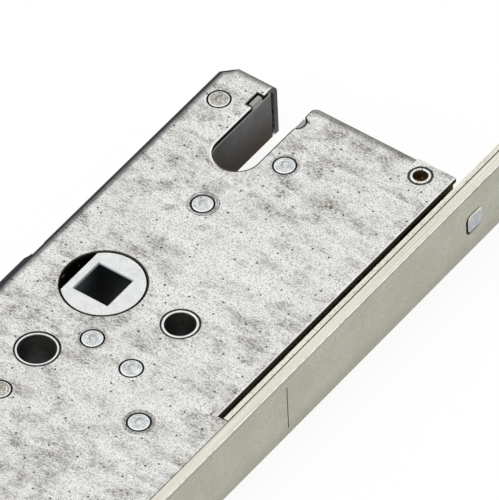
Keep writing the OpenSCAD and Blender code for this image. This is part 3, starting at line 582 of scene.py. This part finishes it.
def turned_steel(name, low, high):
    """Plated turned steel with small nicks, and painted shade in the steps round its ends."""
    f = Finish(name, 0.85, 0.3)
    cloud = f.noise(1.7, detail=3, rough=0.6)
    nick = f.noise(0.28, detail=2, offset=(7, 3, 1))
    foot = FACE - RIM_DROP
    colour = f.mix(f.fit(cloud, 0.32, 0.7), srgb(*high), srgb(*low))
    colour = f.mix(f.fit(nick, 0.62, 0.74, 0, 0.5), colour, srgb(140, 141, 143))
    # Painted shade in the step round the end.
    end_step_shade = f.times(f.fit(f.side, FACE - 0.08, FACE - 0.16),
                   f.fit(f.side, foot - 0.1, foot - 0.05))
    colour = f.mix(end_step_shade, colour, srgb(26, 24, 21))
    roughness = f.fit(cloud, 0.3, 0.7, 0.24, 0.4, smooth=False)
    return f.finished(colour, roughness, f.plus(cloud, nick), 0.010)


def bored_steel(name, dark, broken=0.0):
    """Plated sleeve, its rim broken by dark spots, its bore darkened by painted shade below the
    mouth.
    """
    f = Finish(name, SLEEVE_METALLIC, 0.36)
    cloud = f.noise(1.2, detail=3, rough=0.6)
    spots = f.noise(0.5, detail=2, rough=0.6, offset=(3, 1, 2))
    colour = f.mix(f.fit(cloud, 0.32, 0.7), srgb(252, 252, 251), srgb(236, 237, 237))
    colour = f.mix(f.fit(spots, 0.56, 0.64, 0, broken), colour, srgb(70, 64, 56))
    # Painted shade in the bore, below the mouth.
    bore_shade = f.mix(f.fit(cloud, 0.4, 0.7), srgb(*dark), srgb(*(v * 0.55 for v in dark)))
    deep = f.fit(f.side, FACE - 0.12, FACE - 0.3)
    colour = f.mix(deep, colour, bore_shade)
    f.set("Metallic", f.fit(deep, 0, 1, SLEEVE_METALLIC, 0.05, smooth=False))
    return f.finished(colour, f.fit(cloud, 0.3, 0.7, 0.3, 0.5, smooth=False), cloud, 0.010)


def anchor_shade_steel():
    """Dull dark colour of the anchors, painted shade for the case's gaps, which are all that shows
    of them.
    """
    f = Finish("anchor_shade_steel", 0.5, 0.55)
    cloud = f.noise(2.2, detail=3, rough=0.6)
    fine = f.noise(0.3, detail=2)
    colour = f.mix(f.fit(cloud, 0.32, 0.7), srgb(58, 55, 49), srgb(40, 38, 34))
    colour = f.mix(f.fit(fine, 0.58, 0.72, 0, 0.5), colour, srgb(92, 86, 74))
    return f.finished(colour, f.fit(fine, 0.3, 0.7, 0.45, 0.65, smooth=False), fine, 0.015)


def cast_zinc():
    """Die-cast or sintered grey metal: fine grain with flow marks and a little grease."""
    f = Finish("cast_zinc", 0.7, 0.46)
    flow = f.noise((6, 2.4, 4), detail=3, rough=0.6, warp=0.8)
    pores = f.noise(0.22, detail=3, rough=0.7)
    grease = f.fit(f.noise(7, detail=2, offset=(1, 5, 9)), 0.6, 0.75, 0, 0.35)
    colour = f.mix(f.fit(flow, 0.35, 0.7), srgb(182, 185, 187), srgb(150, 153, 156))
    colour = f.mix(f.fit(pores, 0.58, 0.74, 0, 0.5), colour, srgb(104, 104, 103))
    colour = f.mix(grease, colour, srgb(146, 130, 98))
    roughness = f.fit(pores, 0.3, 0.7, 0.38, 0.58, smooth=False)
    return f.finished(colour, roughness, f.plus(pores, f.times(flow, 0.5)), 0.015)


def brass():
    """Brass bush, mostly dark as painted shade of the eyelet's hole, with a few spots of painted
    golden glint.
    """
    f = Finish("brass", 0.5, 0.35)
    cloud = f.noise(0.9, detail=2, offset=(0.6, 0.2, 0))
    # Painted shade, with painted golden glints where the noise is high.
    colour = f.mix(f.fit(cloud, 0.42, 0.56), srgb(98, 72, 36), srgb(255, 216, 116))
    return f.finished(colour, f.fit(cloud, 0.3, 0.7, 0.45, 0.22, smooth=False), cloud, 0.008)


def rivet_face(name, low, high):
    """Hammered end of a riveted stud: flecked, with a dull curl off its middle, a painted
    highlight on its dome's rim and in its groove, and painted shade below.
    """
    f = Finish(name, 0.7, 0.36)
    cloud = f.noise(1.1, detail=3, rough=0.6, offset=(2, 6, 4))
    fleck = f.noise(0.22, detail=2)
    colour = f.mix(f.fit(cloud, 0.3, 0.68), srgb(*high), srgb(*low))
    colour = f.mix(f.fit(fleck, 0.54, 0.68, 0, 0.7), colour, srgb(124, 124, 123))
    colour = f.mix(f.fit(fleck, 0.32, 0.44, 0.7, 0), colour, srgb(250, 251, 251))
    curl = f.times(cloud, 0.8)
    dull = srgb(*(v * 0.66 for v in low))
    for x, y in STUDS:
        reach = f.plus(f.from_axis(x + 0.25, y + 0.2), curl)
        ring = f.fit(f.magnitude(f.minus(reach, 1.3)), 0.06, 0.3, 1, 0)
        ring = f.times(ring, f.fit(f.x, x + 0.5, x - 0.5))
        colour = f.mix(f.times(ring, 0.65), colour, dull)
    # Painted highlight where the dome is low: its rim and its groove.
    colour = f.mix(f.fit(f.side, FACE + 0.062, FACE + 0.048, 0, 0.9), colour, srgb(250, 251, 251))
    # Painted shade below the face.
    colour = f.mix(f.fit(f.side, FACE - 0.02, FACE - 0.08), colour, srgb(30, 28, 25))
    roughness = f.fit(cloud, 0.3, 0.7, 0.3, 0.46, smooth=False)
    return f.finished(colour, roughness, f.plus(cloud, f.times(fleck, 0.5)), 0.02)


def tenon_face():
    """Riveted end of an anchor: bluish white, with a painted golden glint on its upper chamfer and
    painted shade on its sides in its hole.
    """
    f = Finish("tenon_face", 0.65, 0.36)
    cloud = f.noise((1, 1.4, 1.1), detail=3, rough=0.6)
    chamfer = f.fit(f.x, FP_FRONT + 0.15, FP_FRONT + 0.06)
    upper = f.fit(f.z, FP_MID + 1.2, FP_MID + 1.7)
    colour = f.mix(f.fit(cloud, 0.35, 0.68), srgb(200, 206, 211), srgb(182, 187, 191))
    # Painted golden glint on the upper chamfer.
    colour = f.mix(f.times(chamfer, upper), colour, srgb(254, 246, 222))
    # Painted shade on the sides, down in the faceplate's hole.
    colour = f.mix(f.fit(f.x, FP_FRONT + 0.02, FP_FRONT - 0.04), colour, srgb(48, 36, 22))
    return f.finished(colour, f.fit(cloud, 0.3, 0.7, 0.3, 0.46, smooth=False), cloud, 0.015)


# Finishes by the record's material slots, and those of single nodes and of the added pieces.
FINISHES = {
    "zinc_plate": zinc_plate(),
    "dark_liner": dark_liner(),
    "faceplate": faceplate_metal(),
    "hub_metal": hub_metal(),
    "bright_steel": turned_steel("bright_steel", (196, 199, 203), (228, 230, 233)),
    "cast_zinc": cast_zinc(),
    "rivet_steel": turned_steel("rivet_steel", (176, 178, 181), (212, 214, 217)),
    "rail_steel": rail_steel(),
    "brass": brass(),
}
BUSH_STEEL = bored_steel("bush_steel", (66, 68, 62))
EYELET_STEEL = bored_steel("eyelet_steel", (84, 66, 46), 0.85)
ANCHOR_SHADE_STEEL = anchor_shade_steel()
SPECIAL = {
    "fixing_bush_front": BUSH_STEEL,
    "fixing_bush_lower": BUSH_STEEL,
    "anchor_eyelets": EYELET_STEEL,
    "upper_anchor_block": ANCHOR_SHADE_STEEL,
    "lower_anchor_block": ANCHOR_SHADE_STEEL,
}
RIVET_BLUE = rivet_face("rivet_face", (196, 202, 204), (240, 243, 243))
RIVET_TAN = rivet_face("rivet_face_warm", (156, 151, 138), (208, 204, 192))
TENON_FACE = tenon_face()


def dress_nodes():
    """Each node takes its own finish, or the one that the record's material slots give it."""
    finish_of = {p["node"]: p["material_slot"] for p in frame["record"]["subparts"]}
    for name, obj in nodes.items():
        obj.data.materials.clear()
        obj.data.materials.append(SPECIAL.get(name, FINISHES[finish_of[name]]))


def soften(name, width):
    """Small bevel on a node's edges, as pressed, cut or turned edges have."""
    obj = nodes[name]
    weld = obj.modifiers.new("weld", "WELD")
    weld.merge_threshold = WELD * MM
    bevel = obj.modifiers.new("edge", "BEVEL")
    bevel.width = width * MM
    bevel.segments = 2
    bevel.limit_method = "ANGLE"
    bevel.angle_limit = math.radians(35)
    bevel.use_clamp_overlap = True


def add_mesh(name, bm, material):
    """New smooth object from a bmesh in the frame's metres, riding on the case."""
    mesh = bpy.data.meshes.new(name)
    bmesh.ops.recalc_face_normals(bm, faces=bm.faces)
    bm.to_mesh(mesh)
    bm.free()
    for polygon in mesh.polygons:
        polygon.use_smooth = True
    obj = bpy.data.objects.new(name, mesh)
    bpy.context.scene.collection.objects.link(obj)
    mesh.materials.append(material)
    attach(obj, "case")
    return obj


def full_turn(steps):
    """That many even angles of one turn."""
    return [2 * math.pi * i / steps for i in range(steps)]


def bridge(bm, first, second):
    """Quads between two closed rings of as many vertices."""
    for j in range(len(first)):
        k = (j + 1) % len(first)
        bm.faces.new((first[j], second[j], second[k], first[k]))


def polar_cap(bm, top_at, skirt_at, rings, steps):
    """Closed disc: top_at(share, angle) gives its top, and skirt_at(angle) the foot of its rim."""
    centre = bm.verts.new(top_at(0, 0))
    turn = full_turn(steps)
    last = [bm.verts.new(top_at(1 / rings, angle)) for angle in turn]
    for j in range(steps):
        bm.faces.new((centre, last[j], last[(j + 1) % steps]))
    for i in range(2, rings + 1):
        ring = [bm.verts.new(top_at(i / rings, angle)) for angle in turn]
        bridge(bm, last, ring)
        last = ring
    skirt = [bm.verts.new(skirt_at(angle)) for angle in turn]
    bridge(bm, last, skirt)
    bm.faces.new(list(reversed(skirt)))


def stud_cap(bm, x, y, side, rng):
    """Domed riveted end, with the off-centre crescent that the riveting tool leaves."""
    turn = rng.uniform(0, 2 * math.pi)
    off = rng.uniform(0.2, 0.55)
    ring_x = off * math.cos(turn)
    ring_y = off * math.sin(turn)
    ring_r = rng.uniform(0.75, 1.05)

    def top_at(share, angle):
        dx = share * STUD_END_R * math.cos(angle)
        dy = share * STUD_END_R * math.sin(angle)
        dome = DOME_RISE * (1 - share ** 2.6)
        facing = 0.5 + 0.5 * math.cos(math.atan2(dy - ring_y, dx - ring_x) - turn)
        from_ring = math.hypot(dx - ring_x, dy - ring_y) - ring_r
        groove = GROOVE_DEPTH * facing * math.exp(-(from_ring / GROOVE_WIDTH) ** 2)
        lift = SKIN + max(dome - groove * (1 - share ** 4), 0)
        return Vector((x + dx, y + dy, side * (FACE + lift))) * MM

    def skirt_at(angle):
        r = STUD_END_R + SKIN
        return Vector((x + r * math.cos(angle), y + r * math.sin(angle),
                       side * (FACE - DOME_FOOT))) * MM

    polar_cap(bm, top_at, skirt_at, rings=18, steps=48)


def stud_caps():
    """Riveted ends of every stud on both sides, in a bluish and a warm finish."""
    rng = random.Random(11)
    cold = [place for place in STUDS if place not in WARM_STUDS]
    for name, places, material in (("stud_caps", cold, RIVET_BLUE),
                                   ("stud_caps_warm", WARM_STUDS, RIVET_TAN)):
        bm = bmesh.new()
        for x, y in places:
            for side in (1, -1):
                stud_cap(bm, x, y, side, rng)
        add_mesh(name, bm, material)


def bead(bm, outer, inner, rise, x, y, side):
    """Rounded ring on the case's face round an upright axis, closed a little below."""
    points = 9
    steps = 64
    base = FACE - SKIN
    mid = (inner + outer) / 2
    half = (outer - inner) / 2
    arc = [math.pi * i / (points - 1) for i in range(points)]
    profile = [(mid - half * math.cos(a), base + rise * math.sin(a) ** 0.6) for a in arc]
    profile += [(outer, base - RIM_FOOT), (inner, base - RIM_FOOT)]
    rings = [[bm.verts.new(Vector((x + r * math.cos(a), y + r * math.sin(a), side * h)) * MM)
              for a in full_turn(steps)] for r, h in profile]
    for i, ring in enumerate(rings):
        bridge(bm, ring, rings[(i + 1) % len(rings)])


def ring_rims():
    """Turned-over rims of the eyelets and the rounded mouths of the two fixing bushes."""
    bm = bmesh.new()
    for x, y in EYELETS:
        for side in (1, -1):
            bead(bm, EYELET_R - RIM_INSET, EYELET_BORE - SKIN, EYELET_RISE, x, y, side)
    add_mesh("eyelet_rims", bm, EYELET_STEEL)
    bm = bmesh.new()
    for (x, y), (outer, bore) in BUSHES:
        for side in (1, -1):
            bead(bm, outer - RIM_INSET, bore + SKIN / 2, BUSH_RISE, x, y, side)
    add_mesh("bush_rims", bm, BUSH_STEEL)


def spring_coil():
    """The detent's wire spring, coiled at rest in place of its solid, which it hides."""
    per_turn = 24
    sides = 8
    low, high = box_mm("detent_spring")
    mid_y = (low.y + high.y) / 2
    mean_r = (high.y - low.y) / 2 - SPRING_WIRE
    length = high.x - low.x
    pitch = (length - 2 * SPRING_WIRE) / SPRING_TURNS
    bm = bmesh.new()

    def wire_ring(turns):
        ring = []
        for angle in full_turn(sides):
            x = low.x + SPRING_WIRE + pitch * turns + SPRING_WIRE * math.sin(angle)
            r = mean_r + SPRING_WIRE * math.cos(angle)
            place = (x, mid_y + r * math.cos(2 * math.pi * turns),
                     r * math.sin(2 * math.pi * turns))
            ring.append(bm.verts.new(Vector(place) * MM))
        return ring

    rings = [wire_ring(i / per_turn) for i in range(SPRING_TURNS * per_turn + 1)]
    for before, after in zip(rings, rings[1:]):
        bridge(bm, before, after)
    bm.faces.new(rings[0])
    bm.faces.new(list(reversed(rings[-1])))
    coil = add_mesh("spring_coil", bm, FINISHES["bright_steel"])
    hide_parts("detent_spring")
    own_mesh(coil)


def tenon_heads():
    """Domed, rounded square ends of the anchors' tenons, riveted over in the faceplate."""
    half = TENON / 2 - SKIN
    squareness = 5

    def reach(angle):
        spread = abs(math.cos(angle)) ** squareness + abs(math.sin(angle)) ** squareness
        return half / spread ** (1 / squareness)

    def place(out, y, r, angle):
        return Vector((FP_FRONT + out, y + r * math.cos(angle), FP_MID + r * math.sin(angle))) * MM

    bm = bmesh.new()
    for tenon_y in TENONS:
        y = tenon_y + TENON_SHIFT

        def top_at(share, angle):
            rise = TENON_RISE * (1 - share ** 2.4) + SKIN
            return place(rise, y, share * reach(angle), angle)

        def skirt_at(angle):
            return place(-TENON_FOOT, y, reach(angle) + SKIN, angle)

        polar_cap(bm, top_at, skirt_at, rings=12, steps=56)
    add_mesh("tenon_heads", bm, TENON_FACE)


# Camera, from the fit of the photograph's straight edges and holes.
CAM_AZ, CAM_EL, CAM_ROLL = (math.radians(a) for a in (38.81, 46.26, -2.76))
CAM_TARGET = Vector((18.08, 23.91, 7.5)) * MM
CAM_DISTANCE = 2402 * MM
FOCAL_PX = 12168
IMAGE_LONG_SIDE = 500
SENSOR = 36


def camera():
    back = Vector((math.sin(CAM_AZ) * math.cos(CAM_EL), -math.cos(CAM_AZ) * math.cos(CAM_EL),
                   math.sin(CAM_EL)))
    level = Vector((math.cos(CAM_AZ), math.sin(CAM_AZ), 0))
    upright = back.cross(level)
    right = level * math.cos(CAM_ROLL) + upright * math.sin(CAM_ROLL)
    up = upright * math.cos(CAM_ROLL) - level * math.sin(CAM_ROLL)
    data = bpy.data.cameras.new("camera")
    data.sensor_width = SENSOR
    data.sensor_fit = "AUTO"
    data.lens = FOCAL_PX * SENSOR / IMAGE_LONG_SIDE
    data.clip_start = 0.05
    data.clip_end = 50
    obj = bpy.data.objects.new("camera", data)
    bpy.context.scene.collection.objects.link(obj)
    turn = Matrix((right, up, back)).transposed().to_4x4()
    obj.matrix_world = Matrix.Translation(CAM_TARGET + back * CAM_DISTANCE) @ turn
    bpy.context.scene.camera = obj


# Studio: sizes in metres, light in watts, shares and brightness from 0 to about 1.
FLOOR_HALF = 8
FLOOR_GAP = 0.02 * MM
FLOOR_COLOUR = (0.86, 0.86, 0.855, 1)
FLOOR_GLOW = 1.05
GLOW_SHARE = 0.85
FILL = 0.5
# The surroundings' brightness by height: 0 straight down, 0.5 at the horizon, 1 straight up.
SKY = [(0.0, 1.0), (0.46, 1.0), (0.5, 0.28), (0.58, 0.20), (0.70, 0.62), (0.80, 1.0)]


def seen_directly(tree):
    """1 for camera, glossy and transmission rays, which see the background itself."""
    path = tree.nodes.new("ShaderNodeLightPath")
    total = path.outputs["Is Camera Ray"]
    for other in ("Is Glossy Ray", "Is Transmission Ray"):
        node = tree.nodes.new("ShaderNodeMath")
        node.operation = "MAXIMUM"
        tree.links.new(total, node.inputs[0])
        tree.links.new(path.outputs[other], node.inputs[1])
        total = node.outputs[0]
    return total


def mix_into(tree, share, first, second, output):
    """The first shader turns into the second by a share, and goes to the tree's new output."""
    mix = tree.nodes.new("ShaderNodeMixShader")
    for socket, source in zip(mix.inputs, (share, first, second)):
        tree.links.new(source, socket)
    out = tree.nodes.new(output)
    tree.links.new(mix.outputs[0], out.inputs["Surface"])


def floor():
    """Pale floor under the faceplate's edge, nearly white to the camera, keeping the shadow."""
    bm = bmesh.new()
    bmesh.ops.create_grid(bm, x_segments=1, y_segments=1, size=FLOOR_HALF)
    mesh = bpy.data.meshes.new("floor")
    bm.to_mesh(mesh)
    bm.free()
    obj = bpy.data.objects.new("floor", mesh)
    obj.location.z = fp_low.z * MM - FLOOR_GAP
    bpy.context.scene.collection.objects.link(obj)
    material = bpy.data.materials.new("floor")
    material.use_nodes = True
    tree = material.node_tree
    tree.nodes.clear()
    diffuse = tree.nodes.new("ShaderNodeBsdfDiffuse")
    diffuse.inputs["Color"].default_value = FLOOR_COLOUR
    glow = tree.nodes.new("ShaderNodeEmission")
    glow.inputs["Color"].default_value = (1, 1, 1, 1)
    glow.inputs["Strength"].default_value = FLOOR_GLOW
    share = tree.nodes.new("ShaderNodeMath")
    share.operation = "MULTIPLY"
    share.inputs[1].default_value = GLOW_SHARE
    tree.links.new(seen_directly(tree), share.inputs[0])
    mix_into(tree, share.outputs[0], diffuse.outputs[0], glow.outputs[0],
             "ShaderNodeOutputMaterial")
    mesh.materials.append(material)


def world():
    """White surroundings with a soft dark band just above the horizon, for the metal's edges."""
    made = bpy.data.worlds.new("studio")
    bpy.context.scene.world = made
    made.use_nodes = True
    tree = made.node_tree
    tree.nodes.clear()
    coords = tree.nodes.new("ShaderNodeTexCoord")
    split = tree.nodes.new("ShaderNodeSeparateXYZ")
    tree.links.new(coords.outputs["Generated"], split.inputs[0])
    height = tree.nodes.new("ShaderNodeMapRange")
    height.inputs["From Min"].default_value = -1
    tree.links.new(split.outputs["Z"], height.inputs["Value"])
    ramp = tree.nodes.new("ShaderNodeValToRGB")
    tree.links.new(height.outputs[0], ramp.inputs[0])
    while len(ramp.color_ramp.elements) < len(SKY):
        ramp.color_ramp.elements.new(0.5)
    for element, (at, level) in zip(ramp.color_ramp.elements, SKY):
        element.position = at
        element.color = (level, level, level, 1)
    surroundings = tree.nodes.new("ShaderNodeBackground")
    tree.links.new(ramp.outputs[0], surroundings.inputs["Color"])
    fill = tree.nodes.new("ShaderNodeBackground")
    fill.inputs["Color"].default_value = (1, 1, 1, 1)
    fill.inputs["Strength"].default_value = FILL
    mix_into(tree, seen_directly(tree), fill.outputs[0], surroundings.outputs[0],
             "ShaderNodeOutputWorld")


def lamp(name, direction, distance, size, power, in_metal):
    """Square area lamp, in metres and watts, shining on the case from a direction.

    Metal mirrors it only where in_metal is true."""
    data = bpy.data.lights.new(name, "AREA")
    data.shape = "SQUARE"
    data.size = size
    data.energy = power
    obj = bpy.data.objects.new(name, data)
    obj.location = CAM_TARGET + Vector(direction).normalized() * distance
    obj.rotation_mode = "QUATERNION"
    obj.rotation_quaternion = Vector(direction).to_track_quat("Z", "Y")
    obj.visible_glossy = in_metal
    bpy.context.scene.collection.objects.link(obj)


dress_nodes()
for node, width in (("case_tray", 0.12), ("cover_plate", 0.12), ("faceplate", 0.15)):
    soften(node, width)
stud_caps()
ring_rims()
tenon_heads()
spring_coil()
camera()
floor()
world()
lamp("key", direction=(-0.43, -0.72, 0.54), distance=1.6, size=2.1, power=10.5, in_metal=True)
lamp("top", direction=(-0.2, 0.5, 1.0), distance=1.8, size=1.2, power=9, in_metal=False)
bpy.context.scene.view_settings.view_transform = "Standard"
